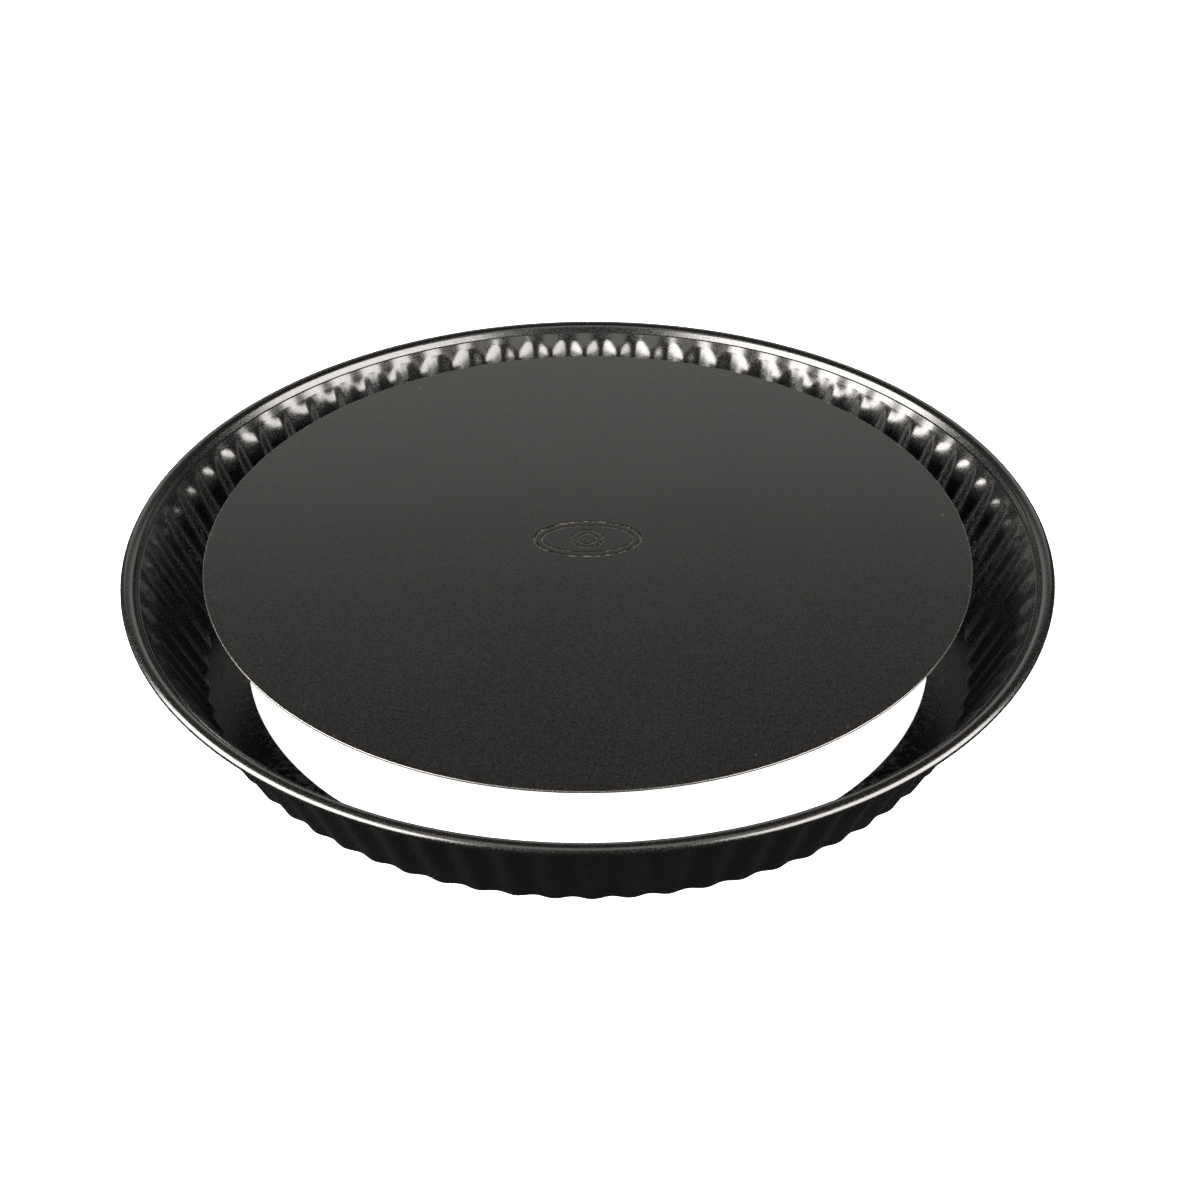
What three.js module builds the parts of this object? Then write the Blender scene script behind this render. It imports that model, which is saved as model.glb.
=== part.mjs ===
// Fluted tart pan with a loose base.
// Two pressed pieces of dark, non-stick coated steel sheet: an open fluted ring with a rolled rim
// and an inward flange, and a flat round base that drops onto the flange and lifts out to free a tart.
// Millimetres, +Z up. The origin is the middle of the ring's underside, and -Y is the front.
import * as THREE from 'three';

// Ring: the driving dimensions.
const RIM_DIAMETER = 296; // outside of the rolled rim
const PAN_HEIGHT = 38.6; // underside of the flange to the top of the rolled rim
const FOOT_DIAMETER = 250; // outside of the wall at its foot, midway between crest and valley
const HOLE_DIAMETER = 222; // hole that the flange leaves open
const SHEET = 0.6; // thickness of the ring's sheet
const WALL_LEAN = THREE.MathUtils.degToRad(25); // how far the wall leans outward from upright

// Flutes: waves round the wall, full down to the foot and faded out under the rim.
const FLUTE_COUNT = 71;
const FLUTE_DEPTH_AT_FOOT = 1.1; // crest to valley
const FLUTE_DEPTH_AT_SHOULDER = 2;
const SHOULDER_HEIGHT = 29.4; // where the flutes begin to fade
const NECK_HEIGHT = 34.7; // where the smooth neck begins

// Neck: above its waist the wall flares out to a lip, with a narrow crease between the lip and the rim.
const WAIST_HEIGHT = 32;
const LIP_DIAMETER = 284.6; // inside
const LIP_HEIGHT = 36.3;
const CREASE_DIAMETER = 285.8;
const CREASE_HEIGHT = 35.9;

// Rolled rim: from the crease the edge curls over and down in an oval. Angles in the curl's own section
// are 0 at its outermost point and a quarter turn at its top.
const CURL_WIDTH = 4.4;
const CURL_DEPTH = 3.4;
const CURL_START = Math.PI;
const CURL_END = THREE.MathUtils.degToRad(-120);
const CURL_STEPS = 10;

// Base: a flat disc with a small oval decorative groove, held above its seat, level with the rim.
const BASE_DIAMETER = 244.5;
const BASE_SHEET = 0.8;
const BASE_EDGE_ROUNDING = 0.2;
const BASE_LIFT = 36; // how far the base is lifted off its seat
const SEAT_GAP = 0.3; // air left between the seated base and the flange
const MARK_LENGTH = 34; // from side to side, along the middle of the groove
const MARK_BREADTH = 20; // from front to back
const MARK_SETBACK = 4; // from the middle of the base towards the back
const GROOVE_WIDTH = 1.2;
const GROOVE_DEPTH = 0.25;

// Facets: fine round the flutes, coarse round everything that is plain.
const COLUMNS_PER_FLUTE = 6;
const FLUTED_COLUMNS = FLUTE_COUNT * COLUMNS_PER_FLUTE;
const PLAIN_COLUMNS = 84;
const FRONT = -Math.PI / 2;

// The coating of both pieces.
const COATING = { metalness: 0.65, roughness: 0.42 };
const RING_COLOUR = 0x34322f;
const BASE_COLOUR = 0x45433f;

// One station of the ring's sheet section: a radius and a height, which become a whole circle of points.
function plainStation(radius, height) {
  return { radius, height, fluteDepth: 0, columns: PLAIN_COLUMNS };
}

// Crest to valley of the flutes at a height: it grows up to the shoulder and rounds off to none at the neck.
function fluteDepthAt(height) {
  if (height < SHOULDER_HEIGHT) {
    return THREE.MathUtils.lerp(FLUTE_DEPTH_AT_FOOT, FLUTE_DEPTH_AT_SHOULDER, height / SHOULDER_HEIGHT);
  }
  const fade = (height - SHOULDER_HEIGHT) / (NECK_HEIGHT - SHOULDER_HEIGHT);
  return FLUTE_DEPTH_AT_SHOULDER * Math.sqrt(1 - fade ** 2);
}

function flutedStation(radius, height) {
  return { radius, height, fluteDepth: fluteDepthAt(height), columns: FLUTED_COLUMNS };
}

// Radius of the leaning wall's inner face at a height.
function wallInside(height) {
  return FOOT_DIAMETER / 2 + height * Math.tan(WALL_LEAN) - SHEET / Math.cos(WALL_LEAN);
}

// Radius of the flaring neck's inner face at a height.
function neckInside(height) {
  const share = (height - WAIST_HEIGHT) / (LIP_HEIGHT - WAIST_HEIGHT);
  return THREE.MathUtils.lerp(wallInside(WAIST_HEIGHT), LIP_DIAMETER / 2, share);
}

function neckLean() {
  return Math.atan2(LIP_DIAMETER / 2 - wallInside(WAIST_HEIGHT), LIP_HEIGHT - WAIST_HEIGHT);
}

// A fluted station on the inner face, on the wall up to its waist and on the neck above.
function insideStation(height) {
  const radius = height > WAIST_HEIGHT ? neckInside(height) : wallInside(height);
  return flutedStation(radius, height);
}

// The station a sheet's thickness outside it.
function outsideStation(height) {
  const station = insideStation(height);
  const lean = height > WAIST_HEIGHT ? neckLean() : WALL_LEAN;
  return { ...station, radius: station.radius + SHEET / Math.cos(lean) };
}

// An arc of plain stations round the middle of the curl, at a depth under the curl's outer face.
function curlArc(underFace, fromAngle, toAngle) {
  const middleRadius = (RIM_DIAMETER - CURL_WIDTH) / 2;
  const middleHeight = PAN_HEIGHT - CURL_DEPTH / 2;
  const halfWidth = CURL_WIDTH / 2 - underFace;
  const halfDepth = CURL_DEPTH / 2 - underFace;
  const stations = [];
  for (let step = 0; step <= CURL_STEPS; step += 1) {
    const angle = THREE.MathUtils.lerp(fromAngle, toAngle, step / CURL_STEPS);
    const radius = middleRadius + halfWidth * Math.cos(angle);
    stations.push(plainStation(radius, middleHeight + halfDepth * Math.sin(angle)));
  }
  return stations;
}

// The closed section of the ring: along the flange and up the inner face, round the curl and back
// inside it, then down the outer face to the foot and under the flange.
function ringSection() {
  return [
    plainStation(HOLE_DIAMETER / 2, 0),
    plainStation(HOLE_DIAMETER / 2, SHEET),
    ...[SHEET, SHOULDER_HEIGHT, WAIST_HEIGHT, NECK_HEIGHT].map(insideStation),
    plainStation(LIP_DIAMETER / 2, LIP_HEIGHT),
    plainStation(CREASE_DIAMETER / 2, CREASE_HEIGHT),
    ...curlArc(0, CURL_START, CURL_END),
    ...curlArc(SHEET, CURL_END, CURL_START),
    plainStation(CREASE_DIAMETER / 2 + SHEET / 2, CREASE_HEIGHT - SHEET),
    ...[NECK_HEIGHT, WAIST_HEIGHT, SHOULDER_HEIGHT, 0].map(outsideStation),
  ];
}

// The circle of points that a station makes, with a flute crest at the front.
function pushCircle(positions, station) {
  for (let column = 0; column < station.columns; column += 1) {
    const turn = (column / station.columns) * 2 * Math.PI;
    const radius = station.radius + (station.fluteDepth / 2) * Math.cos(FLUTE_COUNT * turn);
    positions.push(radius * Math.cos(FRONT + turn), radius * Math.sin(FRONT + turn), station.height);
  }
}

// The band of triangles between two neighbouring circles, which may have different numbers of points.
function pushBand(indices, lower, upper) {
  let onLower = 0;
  let onUpper = 0;
  while (onLower < lower.columns || onUpper < upper.columns) {
    const lowerPoint = lower.first + (onLower % lower.columns);
    const upperPoint = upper.first + (onUpper % upper.columns);
    if ((onLower + 1) / lower.columns <= (onUpper + 1) / upper.columns) {
      onLower += 1;
      indices.push(lowerPoint, upperPoint, lower.first + (onLower % lower.columns));
    } else {
      onUpper += 1;
      indices.push(lowerPoint, upperPoint, upper.first + (onUpper % upper.columns));
    }
  }
}

// Sweeps a closed section of stations round the Z axis into one closed body.
function sweepSection(section) {
  const positions = [];
  const indices = [];
  const circles = section.map((station) => {
    const first = positions.length / 3;
    pushCircle(positions, station);
    return { first, columns: station.columns };
  });
  circles.forEach((circle, order) => {
    pushBand(indices, circle, circles[(order + 1) % circles.length]);
  });
  const geometry = new THREE.BufferGeometry();
  geometry.setAttribute('position', new THREE.Float32BufferAttribute(positions, 3));
  geometry.setIndex(indices);
  geometry.computeVertexNormals();
  return geometry;
}

function makeFlutedRing() {
  const coating = new THREE.MeshStandardMaterial({ color: RING_COLOUR, ...COATING });
  const ring = new THREE.Mesh(sweepSection(ringSection()), coating);
  ring.name = 'fluted_ring';
  return ring;
}

// The base's profile starts and ends on the axis: underside, rounded edge, top face with its groove.
function baseProfile() {
  const radius = BASE_DIAMETER / 2;
  const groove = MARK_LENGTH / 2;
  const grooveFloor = GROOVE_WIDTH / 4;
  const points = [
    [0, 0],
    [radius - BASE_EDGE_ROUNDING, 0],
    [radius, BASE_EDGE_ROUNDING],
    [radius, BASE_SHEET - BASE_EDGE_ROUNDING],
    [radius - BASE_EDGE_ROUNDING, BASE_SHEET],
    [groove + GROOVE_WIDTH / 2, BASE_SHEET],
    [groove + grooveFloor, BASE_SHEET - GROOVE_DEPTH],
    [groove - grooveFloor, BASE_SHEET - GROOVE_DEPTH],
    [groove - GROOVE_WIDTH / 2, BASE_SHEET],
    [0, BASE_SHEET],
  ];
  return points.map(([x, y]) => new THREE.Vector2(x, y));
}

// Narrows the round groove into an oval and sets it back. The disc round it keeps its shape.
function placeGroove(geometry) {
  const position = geometry.attributes.position;
  for (let index = 0; index < position.count; index += 1) {
    const radius = Math.hypot(position.getX(index), position.getY(index));
    if (radius < MARK_LENGTH / 2 + GROOVE_WIDTH) {
      position.setY(index, MARK_SETBACK + (position.getY(index) * MARK_BREADTH) / MARK_LENGTH);
    }
  }
  geometry.computeVertexNormals();
}

function makeLooseBase() {
  const geometry = new THREE.LatheGeometry(baseProfile(), PLAIN_COLUMNS);
  geometry.rotateX(Math.PI / 2);
  placeGroove(geometry);
  const coating = new THREE.MeshStandardMaterial({ color: BASE_COLOUR, ...COATING });
  const base = new THREE.Mesh(geometry, coating);
  base.name = 'loose_base';
  base.position.z = SHEET + SEAT_GAP + BASE_LIFT;
  return base;
}

const tartPan = new THREE.Group();
tartPan.name = 'tart_pan';
tartPan.add(makeFlutedRing(), makeLooseBase());

export default tartPan;
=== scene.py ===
import math

import bpy
from mathutils import Matrix, Vector


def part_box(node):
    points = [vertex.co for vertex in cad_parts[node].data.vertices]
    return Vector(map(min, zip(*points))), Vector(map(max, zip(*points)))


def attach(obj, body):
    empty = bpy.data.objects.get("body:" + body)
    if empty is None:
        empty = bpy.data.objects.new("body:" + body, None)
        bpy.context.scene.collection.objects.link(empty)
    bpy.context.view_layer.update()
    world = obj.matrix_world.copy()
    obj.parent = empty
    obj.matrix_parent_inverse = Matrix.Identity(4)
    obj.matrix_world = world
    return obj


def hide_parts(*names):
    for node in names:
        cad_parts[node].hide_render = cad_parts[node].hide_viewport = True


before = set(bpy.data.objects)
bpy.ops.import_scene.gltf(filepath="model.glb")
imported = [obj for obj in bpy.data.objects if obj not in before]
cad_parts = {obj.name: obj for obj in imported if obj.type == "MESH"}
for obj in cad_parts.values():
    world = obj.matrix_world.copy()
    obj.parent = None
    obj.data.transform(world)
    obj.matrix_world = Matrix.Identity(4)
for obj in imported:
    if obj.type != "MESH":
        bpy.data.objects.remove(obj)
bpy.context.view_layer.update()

MM = 0.001

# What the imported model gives: the outer sizes of the two pieces, and how high the base is held.
_, ring_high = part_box("fluted_ring")
base_low, base_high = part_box("loose_base")
RIM_RADIUS = ring_high.x
PAN_HEIGHT = ring_high.z
BASE_RADIUS = base_high.x
BASE_SHEET = base_high.z - base_low.z

# The ring's sheet, as it is pressed.
FOOT_RADIUS = 125 * MM
HOLE_RADIUS = 111 * MM
SHEET = 0.6 * MM
WALL_LEAN = math.radians(25)  # how far the wall leans outward from upright
WAIST_HEIGHT = 32 * MM  # inner corner where the wall begins to flare into the neck
WAIST_RADIUS = FOOT_RADIUS + WAIST_HEIGHT * math.tan(WALL_LEAN) - SHEET / math.cos(WALL_LEAN)
LIP_RADIUS = 142.3 * MM  # top of the neck, beside the crease
LIP_HEIGHT = 36.3 * MM
CREASE_RADIUS = 142.9 * MM  # bottom of the narrow crease between neck and rolled rim
CREASE_HEIGHT = 35.9 * MM
FOOT_BEND = 1.2 * MM  # outside radius of the bend between flange and wall
CUT_EDGE = 0.18 * MM  # rounding of the sheet's cut edges
HOLE_RUB = 0.5  # how worn the coating is at the hole's edge
HOLE_RUB_WIDTH = 0.5 * MM

# How far from its corner each soft bend of the sheet begins.
WAIST_ROUNDING = 2.8 * MM
LIP_ROUNDING = 0.35 * MM
CREASE_ROUNDING = 0.2 * MM
CREASE_OUTSIDE_ROUNDING = 0.3 * MM

# Flutes.
FLUTE_COUNT = 71
COLUMNS_PER_FLUTE = 12
FLUTE_DEPTH_AT_FOOT = 1.1 * MM
FLUTE_DEPTH_AT_SHOULDER = 2.0 * MM
SHOULDER_HEIGHT = 29.4 * MM  # where the flutes begin to fade
NECK_HEIGHT = 34.7 * MM  # where the smooth neck begins
FLUTE_END_FULLNESS = 0.65  # how the flutes' upper ends fade: 0.5 is a round end, and 1 a pointed one
WALL_ROWS = (0.2, 0.45, 0.7)  # extra rows of points up the wall, as shares of its height

# Rolled rim: an oval curl, a little wider than it is tall.
CURL_WIDTH = 4.4 * MM
CURL_DEPTH = 3.4 * MM
CURL_START = math.radians(160)  # where it leaves the upright run from the crease
CURL_END = math.radians(-120)

# Base: the circles of points in its flat faces, which are close together only in and round the mark.
BASE_COLUMNS = 336
UNDERSIDE_RADII = (30 * MM, 80 * MM)
TOP_RADII = (100 * MM, 70 * MM, 45 * MM, 28 * MM)
MARK_ROWS = 90
MARK_SURROUND = 2 * MM

# Mark near the middle of the base: two oval lines, the outer one a groove, round a small scalloped tart.
MARK_LENGTH = 34 * MM
MARK_BREADTH = 20 * MM
MARK_SETBACK = 4 * MM  # from the middle of the base towards the back
MARK_MARGIN = 2.4 * MM  # from the outer line to the inner line
OUTER_LINE = (1.0 * MM, 0.25 * MM)  # width and depth
INNER_LINE = (0.7 * MM, 0.12 * MM)
MARK_RUB = 0.3  # how worn the coating is in the lines
TART_RADIUS = 4.6 * MM
TART_SCALLOP = 0.6 * MM  # how far each scallop bulges
TART_SCALLOPS = 12
TART_MIDDLE_RADIUS = 2.9 * MM

# Coatings: nearly black, with a speckle a little lighter, and bare steel where they are worn.
COAT_BLACK = (0.001, 0.001, 0.001)
RING_SPECKLE = (0.007, 0.0065, 0.006)
BASE_SPECKLE = (0.008, 0.0075, 0.007)
STEEL = (0.33, 0.32, 0.30)
CLOUD_SIZE = 35 * MM
PATCH_SIZE = 2.5 * MM  # of the worn patches
PEEL_SIZE = 1.1 * MM  # of the orange peel
PEEL_HEIGHT = 0.05 * MM
ROUGHNESS_SPREAD = 0.1
NOISE_RANGE = (0.3, 0.7)  # where most of a noise's output lies
BARE_RANGE = (0.75, 1.15)  # of painted wear and noise together: steel begins to show, and is all bare

# Camera: in front and 35 degrees up. A camera's own lens and sensor are in millimetres.
LENS = 72
SENSOR = 36
NEAREST = 10 * MM
CAMERA_DISTANCE = 776 * MM
CAMERA_ELEVATION = math.radians(35.42)
CAMERA_AZIMUTH = math.radians(0.24)
CAMERA_TURN = math.radians(-0.9)  # about the pan's axis, to bring the flutes where they belong
CAMERA_ROLL = math.radians(-0.17)
CAMERA_TARGET = Vector((3.9 * MM, -4.2 * MM, 19.3 * MM))

# Studio: the paper under and round the pan shines of itself, and the lights are slightly warm.
PAPER_GLOW = 1.0
PAPER_WHITE = (0.95, 0.95, 0.95)
PAPER_BRIGHTEST = (0.97, 0.97, 0.97)
PAPER_CLOUD_SIZE = 400 * MM
PAPER_ROUGHNESS = 0.8
WORLD_GLOW = 0.02
WARM_WHITE = (1.0, 0.97, 0.92)
FLOOR_RADIUS = 4.0
BACKDROP_CURVE = 2.0
BACKDROP_HEIGHT = 6.0
FLOOR_DROP = 0.1 * MM  # keeps the floor clear of the pan's underside
SWEEP_COLUMNS = 48


# ---------------------------------------------------------------- the sheet's section

def smooth_step(share):
    share = min(max(share, 0.0), 1.0)
    return share * share * (3 - 2 * share)


def mix(start, end, share):
    return start + (end - start) * share


def arc(centre, half_width, half_height, from_angle, to_angle, steps):
    """Points (radius, height) round an oval in the section."""
    points = []
    for step in range(steps + 1):
        angle = mix(from_angle, to_angle, step / steps)
        across = half_width * math.cos(angle)
        up = half_height * math.sin(angle)
        points.append((centre[0] + across, centre[1] + up))
    return points


def bend(before, corner, after, reach, steps=4):
    """A soft bend at a corner: it leaves one line, and joins the next, at a reach from the corner."""
    corner = Vector(corner)
    start = corner + (Vector(before) - corner).normalized() * reach
    end = corner + (Vector(after) - corner).normalized() * reach
    points = []
    for step in range(steps + 1):
        share = step / steps
        point = start * (1 - share) ** 2 + corner * 2 * share * (1 - share) + end * share ** 2
        points.append(tuple(point))
    return points


def offset_corner(before, corner, after, distance):
    """The corner of the sheet's other face: a distance to the right of the way before, corner, after."""
    first = (Vector(corner) - Vector(before)).normalized()
    second = (Vector(after) - Vector(corner)).normalized()
    square_to_first = Vector((first.y, -first.x))
    middle = Vector((first.y + second.y, -first.x - second.x)).normalized()
    return tuple(Vector(corner) + middle * distance / middle.dot(square_to_first))


def rows_between(start, end, shares):
    """Points on a straight run of the section, at shares of the way."""
    return [tuple(Vector(start).lerp(Vector(end), share)) for share in shares]


def flute_depth(radius, height):
    """Crest to valley of the flutes: none at the hole, growing up to the shoulder, and gone at the neck."""
    depth = mix(FLUTE_DEPTH_AT_FOOT, FLUTE_DEPTH_AT_SHOULDER, min(height / SHOULDER_HEIGHT, 1.0))
    on_flange = min((radius - HOLE_RADIUS) / (FOOT_RADIUS - HOLE_RADIUS), 1.0)
    past_shoulder = min(max((height - SHOULDER_HEIGHT) / (NECK_HEIGHT - SHOULDER_HEIGHT), 0.0), 1.0)
    fade = (1 - past_shoulder ** 2) ** FLUTE_END_FULLNESS
    return depth * on_flange * fade


def ring_section():
    """The closed section: flange top, inner face, curl, back inside the curl, outer face, underside."""
    curl = (RIM_RADIUS - CURL_WIDTH / 2, PAN_HEIGHT - CURL_DEPTH / 2)
    curl_side = (curl[0] - CURL_WIDTH / 2, curl[1])
    above_curl_side = (curl_side[0], curl[1] + SHEET)
    hole_low = (HOLE_RADIUS, 0)
    hole_high = (HOLE_RADIUS, SHEET)
    waist = (WAIST_RADIUS, WAIST_HEIGHT)
    lip = (LIP_RADIUS, LIP_HEIGHT)
    crease = (CREASE_RADIUS, CREASE_HEIGHT)
    foot_corner = (FOOT_RADIUS, 0)
    foot_tangent = FOOT_BEND / math.tan((math.pi / 2 + WALL_LEAN) / 2)
    foot = (FOOT_RADIUS - foot_tangent, FOOT_BEND)
    waist_outside = offset_corner(foot_corner, waist, crease, SHEET)
    crease_outside = offset_corner(waist, crease, above_curl_side, SHEET)
    curl_side_inside = (curl_side[0] + SHEET, curl[1])
    foot_inside = (foot_corner[0] - SHEET, SHEET)
    inner_bend = FOOT_BEND - SHEET
    inner_width = CURL_WIDTH / 2 - SHEET
    inner_depth = CURL_DEPTH / 2 - SHEET

    points = bend((foot[0], 0), hole_low, hole_high, CUT_EDGE)
    points += bend(hole_low, hole_high, (foot[0], SHEET), CUT_EDGE)
    points += arc(foot, inner_bend, inner_bend, -math.pi / 2, -WALL_LEAN, 4)
    points += rows_between(foot_inside, waist, WALL_ROWS)
    points += bend(foot_inside, waist, lip, WAIST_ROUNDING, 12)
    points += bend(waist, lip, crease, LIP_ROUNDING, 6)
    points += bend(lip, crease, above_curl_side, CREASE_ROUNDING)
    points += arc(curl, CURL_WIDTH / 2, CURL_DEPTH / 2, CURL_START, CURL_END, 28)
    points += arc(curl, inner_width, inner_depth, CURL_END, CURL_START, 20)
    points += bend(curl_side_inside, crease_outside, waist_outside, CREASE_OUTSIDE_ROUNDING, 6)
    points += bend(crease_outside, waist_outside, foot_corner, WAIST_ROUNDING, 12)
    points += reversed(rows_between(foot_corner, waist_outside, WALL_ROWS))
    points += arc(foot, FOOT_BEND, FOOT_BEND, -WALL_LEAN, -math.pi / 2, 6)
    return points


# ---------------------------------------------------------------- meshes

def quad_band(first, second, columns):
    """Quads between two neighbouring rings of points, given by the numbers of their first points."""
    faces = []
    for column in range(columns):
        beside = (column + 1) % columns
        faces.append((first + column, second + column, second + beside, first + beside))
    return faces


def swept_mesh(name, rings):
    """A closed quad mesh through rings of points, the last ring joined to the first."""
    columns = len(rings[0])
    points = [point for ring in rings for point in ring]
    faces = []
    for row in range(len(rings)):
        next_row = (row + 1) % len(rings)
        faces += quad_band(row * columns, next_row * columns, columns)
    return piece_from(name, points, faces)


def disc_mesh(name, rings, low_centre, high_centre):
    """A closed mesh through rings from the underside's middle, round the edge, to the top's middle."""
    columns = len(rings[0])
    points = [point for ring in rings for point in ring] + [low_centre, high_centre]
    low, high = len(points) - 2, len(points) - 1
    last_row = (len(rings) - 1) * columns
    faces = []
    for column in range(columns):
        beside = (column + 1) % columns
        faces.append((low, beside, column))
        faces.append((high, last_row + column, last_row + beside))
    for row in range(len(rings) - 1):
        faces += quad_band((row + 1) * columns, row * columns, columns)
    return piece_from(name, points, faces)


def smooth_object(name, points, faces):
    mesh = bpy.data.meshes.new(name)
    mesh.from_pydata(points, [], faces)
    mesh.validate()
    mesh.shade_smooth()
    thing = bpy.data.objects.new(name, mesh)
    bpy.context.scene.collection.objects.link(thing)
    return thing


def piece_from(name, points, faces):
    piece = smooth_object(name, points, faces)
    flatten = piece.modifiers.new("flat_faces_stay_flat", "WEIGHTED_NORMAL")
    flatten.keep_sharp = True
    return piece


def paint_wear(piece, wear_of):
    """Stores how worn the coating is at each vertex, for the material to read."""
    wear = piece.data.attributes.new("wear", "FLOAT", "POINT")
    for vertex, value in zip(piece.data.vertices, wear.data):
        value.value = wear_of(vertex.co)


def ring_circle(radius, height):
    """One circle of the ring's points, with a flute crest at the front."""
    columns = FLUTE_COUNT * COLUMNS_PER_FLUTE
    depth = flute_depth(radius, height)
    circle = []
    for column in range(columns):
        turn = column / columns * 2 * math.pi
        reach = radius + depth / 2 * math.cos(FLUTE_COUNT * turn)
        circle.append((reach * math.sin(turn), -reach * math.cos(turn), height))
    return circle


def ring_wear(point):
    """Rubbed at the hole's edge."""
    radius = math.hypot(point.x, point.y)
    return HOLE_RUB * smooth_step(1 - (radius - HOLE_RADIUS) / HOLE_RUB_WIDTH)


def make_ring():
    rings = [ring_circle(radius, height) for radius, height in ring_section()]
    ring = swept_mesh("ring_body", rings)
    paint_wear(ring, ring_wear)
    return ring


def line_relief(distance, line):
    """A pressed line with soft sides: its depth at a distance from its middle."""
    width, depth = line
    return depth * (1 - smooth_step(2 * abs(distance) / width))


def oval_distance(across, along, margin):
    """How far a place is from the mark's oval, or from an oval drawn a margin inside it."""
    half_length = MARK_LENGTH / 2 - margin
    half_breadth = MARK_BREADTH / 2 - margin
    reach = math.hypot(across / half_length, along / half_breadth)
    slope = math.hypot(across / half_length ** 2, along / half_breadth ** 2)
    return (reach - 1) * reach / slope if slope else -half_breadth


def mark_relief(across, along):
    """How deep the mark is pressed in at a place on the base."""
    radius = math.hypot(across, along)
    scallops = abs(math.sin(math.atan2(along, across) * TART_SCALLOPS / 2))
    return max(
        line_relief(oval_distance(across, along, 0), OUTER_LINE),
        line_relief(oval_distance(across, along, MARK_MARGIN), INNER_LINE),
        line_relief(radius - TART_RADIUS - TART_SCALLOP * scallops, INNER_LINE),
        line_relief(radius - TART_MIDDLE_RADIUS, INNER_LINE),
    )


def plain_circle(radius, height, columns):
    """One circle of points, which starts at the front."""
    circle = []
    for column in range(columns):
        turn = column / columns * 2 * math.pi
        circle.append((radius * math.sin(turn), -radius * math.cos(turn), height))
    return circle


def mark_circle(radius, height):
    """One ring of points in and round the mark, narrowed to an oval and pressed down along the lines."""
    circle = []
    for across, unnarrowed, _ in plain_circle(radius, height, BASE_COLUMNS):
        along = unnarrowed * MARK_BREADTH / MARK_LENGTH
        circle.append((across, along + MARK_SETBACK, height - mark_relief(across, along)))
    return circle


def make_base():
    low, high = base_low.z, base_high.z
    edge = BASE_RADIUS
    under = bend((0, low), (edge, low), (edge, high), 2 * CUT_EDGE)
    over = bend((edge, low), (edge, high), (0, high), CUT_EDGE)
    section = [(radius, low) for radius in UNDERSIDE_RADII] + under + over
    section += [(radius, high) for radius in TOP_RADII]
    mark_reach = MARK_LENGTH / 2 + MARK_SURROUND
    mark_radii = [mark_reach * (1 - row / MARK_ROWS) for row in range(MARK_ROWS)]
    rings = [plain_circle(radius, height, BASE_COLUMNS) for radius, height in section]
    rings += [mark_circle(radius, high) for radius in mark_radii]
    base = disc_mesh("base_disc", rings, (0, 0, low), (0, MARK_SETBACK, high))
    paint_wear(base, base_wear)
    return base


def base_wear(point):
    """Bare along the cut edge of the sheet, and a little rubbed in the mark's lines."""
    radius = math.hypot(point.x, point.y)
    at_edge = smooth_step((radius - BASE_RADIUS + 1.2 * CUT_EDGE) / CUT_EDGE)
    in_mark = MARK_RUB * smooth_step((base_high.z - point.z) / INNER_LINE[1])
    return max(at_edge, in_mark) if point.z > base_low.z + BASE_SHEET / 2 else at_edge


# ---------------------------------------------------------------- materials

class Nodes:
    """A short way to build a material's node tree."""

    def __init__(self, name):
        self.material = bpy.data.materials.new(name)
        self.material.use_nodes = True
        self.tree = self.material.node_tree
        self.shader = self.tree.nodes["Principled BSDF"]

    def add(self, kind, **settings):
        node = self.tree.nodes.new(kind)
        for name, value in settings.items():
            setattr(node, name, value)
        return node

    def link(self, output, socket):
        self.tree.links.new(output, socket)

    def place(self):
        return self.add("ShaderNodeTexCoord").outputs["Object"]

    def noise(self, size, detail=2.0, roughness=0.5):
        """Noise whose features are about size across. Its output runs from 0 to 1."""
        node = self.add("ShaderNodeTexNoise")
        self.link(self.place(), node.inputs["Vector"])
        node.inputs["Scale"].default_value = 1 / size
        node.inputs["Detail"].default_value = detail
        node.inputs["Roughness"].default_value = roughness
        return node.outputs["Fac"]

    def remap(self, value, low, high, to_low, to_high):
        node = self.add("ShaderNodeMapRange")
        self.link(value, node.inputs["Value"])
        node.inputs["From Min"].default_value = low
        node.inputs["From Max"].default_value = high
        node.inputs["To Min"].default_value = to_low
        node.inputs["To Max"].default_value = to_high
        return node.outputs["Result"]

    def calculate(self, operation, first, second):
        node = self.add("ShaderNodeMath", operation=operation)
        for socket, value in zip(node.inputs, (first, second)):
            if isinstance(value, (int, float)):
                socket.default_value = value
            else:
                self.link(value, socket)
        return node.outputs["Value"]

    def blend_colours(self, share, first, second):
        node = self.add("ShaderNodeMix", data_type="RGBA")
        self.link(share, node.inputs["Factor"])
        for socket, value in zip((node.inputs["A"], node.inputs["B"]), (first, second)):
            if isinstance(value, tuple):
                socket.default_value = (*value, 1)
            else:
                self.link(value, socket)
        return node.outputs["Result"]


def coat_colour(nodes, speckle, light):
    """Nearly black, lighter in the speckle and, more softly, in large clouds."""
    clouds = nodes.noise(CLOUD_SIZE, detail=3.0)
    fine_tone = nodes.remap(speckle, *NOISE_RANGE, 0, 0.8)
    cloud_tone = nodes.remap(clouds, *NOISE_RANGE, 0, 0.2)
    return nodes.blend_colours(nodes.calculate("ADD", fine_tone, cloud_tone), COAT_BLACK, light)


def bare_patches(nodes):
    """Where the steel shows: the painted wear, broken up into patches."""
    worn = nodes.add("ShaderNodeAttribute", attribute_name="wear").outputs["Fac"]
    patchy = nodes.noise(PATCH_SIZE, detail=4.0, roughness=0.65)
    return nodes.remap(nodes.calculate("ADD", worn, patchy), *BARE_RANGE, 0, 1)


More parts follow.
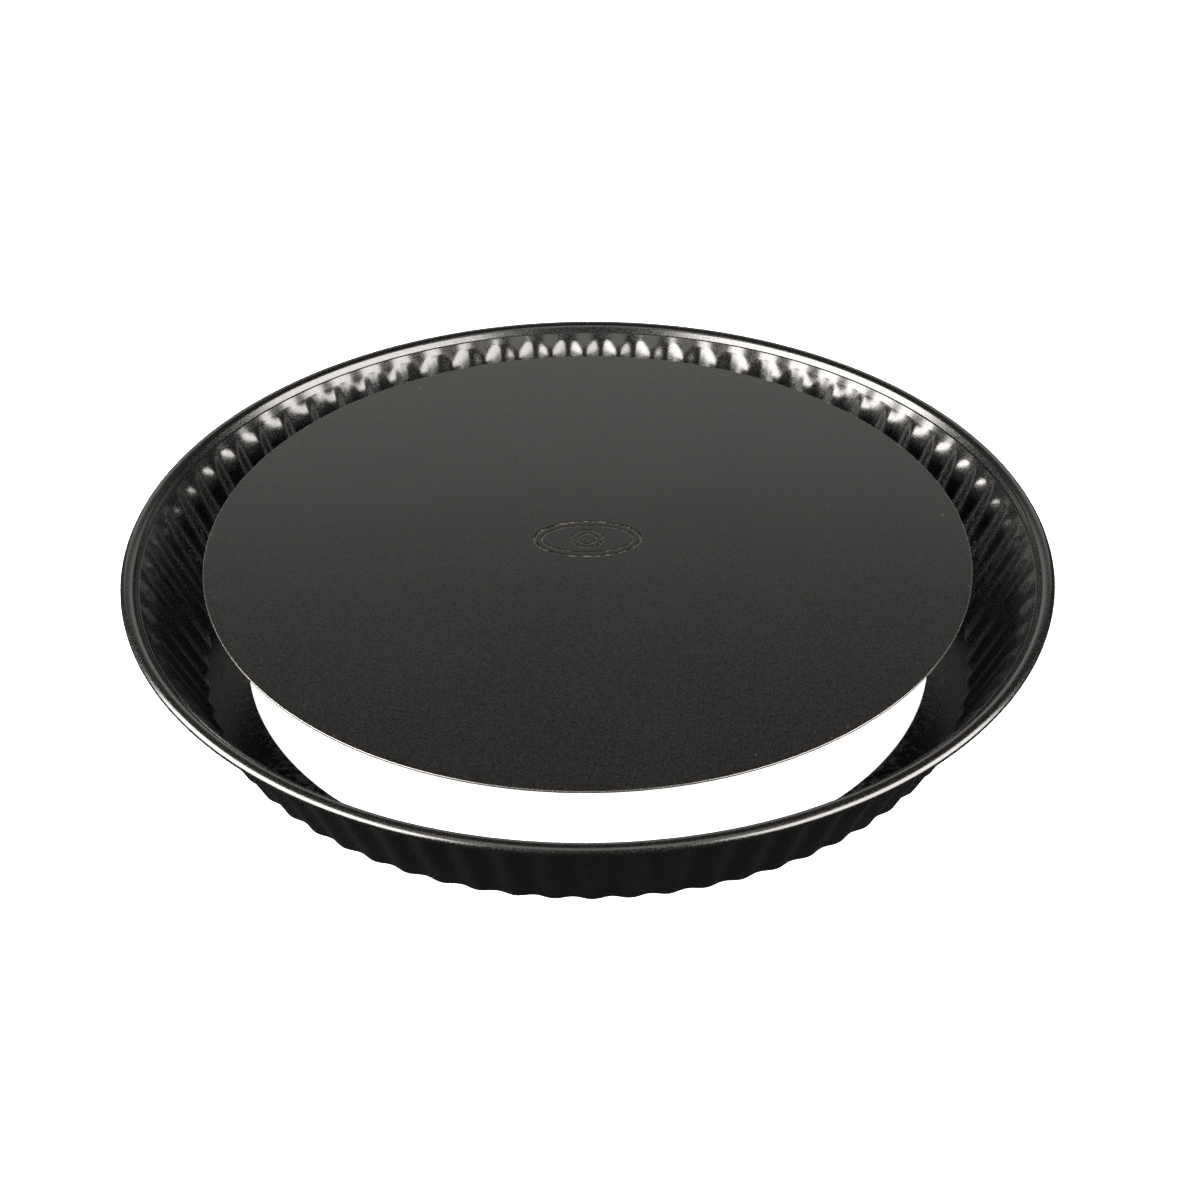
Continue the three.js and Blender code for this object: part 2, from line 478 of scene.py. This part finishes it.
def grain_normal(nodes, speckle, strength):
    """A faint orange peel with the speckle's finer grain on it."""
    peel = nodes.noise(PEEL_SIZE, detail=2.0)
    coarse = nodes.calculate("MULTIPLY", peel, 0.7)
    fine = nodes.calculate("MULTIPLY", speckle, 0.3)
    bump = nodes.add("ShaderNodeBump")
    bump.inputs["Strength"].default_value = strength
    bump.inputs["Distance"].default_value = PEEL_HEIGHT
    nodes.link(nodes.calculate("ADD", coarse, fine), bump.inputs["Height"])
    return bump.outputs["Normal"]


def coating(name, light, roughness, refraction, speckle_size, grain_strength):
    """Satin non-stick coating: fine speckle, soft clouding, orange peel, and bare steel where worn."""
    nodes = Nodes(name)
    shader = nodes.shader
    speckle = nodes.noise(speckle_size, detail=3.0, roughness=0.7)
    coat = coat_colour(nodes, speckle, light)
    bare = bare_patches(nodes)
    smoothest = roughness - ROUGHNESS_SPREAD
    roughest = roughness + ROUGHNESS_SPREAD
    grain = nodes.remap(speckle, *NOISE_RANGE, smoothest, roughest)
    nodes.link(nodes.blend_colours(bare, coat, STEEL), shader.inputs["Base Color"])
    nodes.link(nodes.remap(bare, 0, 1, 0, 0.9), shader.inputs["Metallic"])
    nodes.link(grain, shader.inputs["Roughness"])
    nodes.link(grain_normal(nodes, speckle, grain_strength), shader.inputs["Normal"])
    shader.inputs["IOR"].default_value = refraction
    return nodes.material


def pale_paper():
    """Lit evenly from behind, as paper on a light table, so it stays pale under the dark pan."""
    nodes = Nodes("pale_paper")
    tone = nodes.blend_colours(nodes.noise(PAPER_CLOUD_SIZE), PAPER_WHITE, PAPER_BRIGHTEST)
    nodes.link(tone, nodes.shader.inputs["Base Color"])
    nodes.link(tone, nodes.shader.inputs["Emission Color"])
    nodes.shader.inputs["Emission Strength"].default_value = PAPER_GLOW
    nodes.shader.inputs["Roughness"].default_value = PAPER_ROUGHNESS
    nodes.shader.inputs["Specular IOR Level"].default_value = 0
    return nodes.material


# ---------------------------------------------------------------- the object

def finish_piece(piece, body, node, material):
    piece.data.materials.append(material)
    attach(piece, body)
    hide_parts(node)


ring_coating = coating(
    "ring_coating",
    light=RING_SPECKLE,
    roughness=0.24,
    refraction=1.8,
    speckle_size=0.6 * MM,
    grain_strength=0.18,
)
base_coating = coating(
    "base_coating",
    light=BASE_SPECKLE,
    roughness=0.28,
    refraction=1.58,
    speckle_size=0.5 * MM,
    grain_strength=0.35,
)
finish_piece(make_ring(), "ring", "fluted_ring", ring_coating)
finish_piece(make_base(), "base", "loose_base", base_coating)


# ---------------------------------------------------------------- floor, light and camera

def make_sweep():
    """A pale floor that curves up into a round backdrop.

    It takes no part in reflections, bounced light or shadows, so the pan stays dark on pale paper.
    """
    wall_radius = FLOOR_RADIUS + BACKDROP_CURVE
    curve = (FLOOR_RADIUS, BACKDROP_CURVE)
    section = [(0, 0), (FLOOR_RADIUS / 4, 0), (FLOOR_RADIUS, 0)]
    section += arc(curve, BACKDROP_CURVE, BACKDROP_CURVE, -math.pi / 2, 0, 12)
    section += [(wall_radius, BACKDROP_HEIGHT)]
    points = []
    faces = []
    for radius, height in section:
        points += plain_circle(radius, height - FLOOR_DROP, SWEEP_COLUMNS)
    for row in range(len(section) - 1):
        faces += quad_band((row + 1) * SWEEP_COLUMNS, row * SWEEP_COLUMNS, SWEEP_COLUMNS)
    sweep = smooth_object("sweep", points, faces)
    sweep.data.materials.append(pale_paper())
    sweep.visible_glossy = False
    sweep.visible_diffuse = False
    sweep.visible_shadow = False


def aim(thing, place, target):
    thing.location = place
    thing.rotation_euler = (Vector(target) - Vector(place)).to_track_quat("-Z", "Y").to_euler()


def softbox(name, azimuth, elevation, distance, width, height, power):
    """A soft light round the pan: azimuth 0 is at +X, and -90 at the front. Angles are in degrees."""
    light = bpy.data.lights.new(name, "AREA")
    light.shape = "RECTANGLE"
    light.size = width
    light.size_y = height
    light.energy = power
    light.color = WARM_WHITE
    lamp = bpy.data.objects.new(name, light)
    bpy.context.scene.collection.objects.link(lamp)
    lamp.visible_camera = False
    around = math.radians(azimuth)
    up = math.radians(elevation)
    level = distance * math.cos(up)
    place = (level * math.cos(around), level * math.sin(around), distance * math.sin(up))
    aim(lamp, place, (0, 0, PAN_HEIGHT / 2))


def make_lights():
    """Two strong lights low at the sides, a wide weak one behind and a small weak one above."""
    softbox("left_softbox", -158, 22, distance=0.85, width=1.15, height=0.7, power=36)
    softbox("right_softbox", -27, 22, distance=0.85, width=1.0, height=0.7, power=22)
    softbox("back_panel", 90, 21, distance=1.6, width=2.2, height=0.75, power=4.8)
    softbox("top_softbox", -90, 68, distance=0.9, width=0.8, height=0.5, power=1.6)
    world = bpy.data.worlds.new("studio")
    bpy.context.scene.world = world
    world.use_nodes = True
    background = world.node_tree.nodes["Background"]
    background.inputs["Color"].default_value = (1, 1, 1, 1)
    background.inputs["Strength"].default_value = WORLD_GLOW


def make_camera():
    data = bpy.data.cameras.new("camera")
    data.lens = LENS
    data.sensor_width = SENSOR
    data.clip_start = NEAREST
    camera = bpy.data.objects.new("camera", data)
    bpy.context.scene.collection.objects.link(camera)
    back = Vector((
        math.sin(CAMERA_AZIMUTH) * math.cos(CAMERA_ELEVATION),
        -math.cos(CAMERA_AZIMUTH) * math.cos(CAMERA_ELEVATION),
        math.sin(CAMERA_ELEVATION),
    ))
    aim(camera, CAMERA_TARGET + back * CAMERA_DISTANCE, CAMERA_TARGET)
    bpy.context.view_layer.update()
    roll = Matrix.Rotation(CAMERA_ROLL, 4, "Z")
    camera.matrix_world = Matrix.Rotation(CAMERA_TURN, 4, "Z") @ camera.matrix_world @ roll
    bpy.context.scene.camera = camera


make_sweep()
make_lights()
make_camera()
bpy.context.scene.view_settings.view_transform = "Standard"
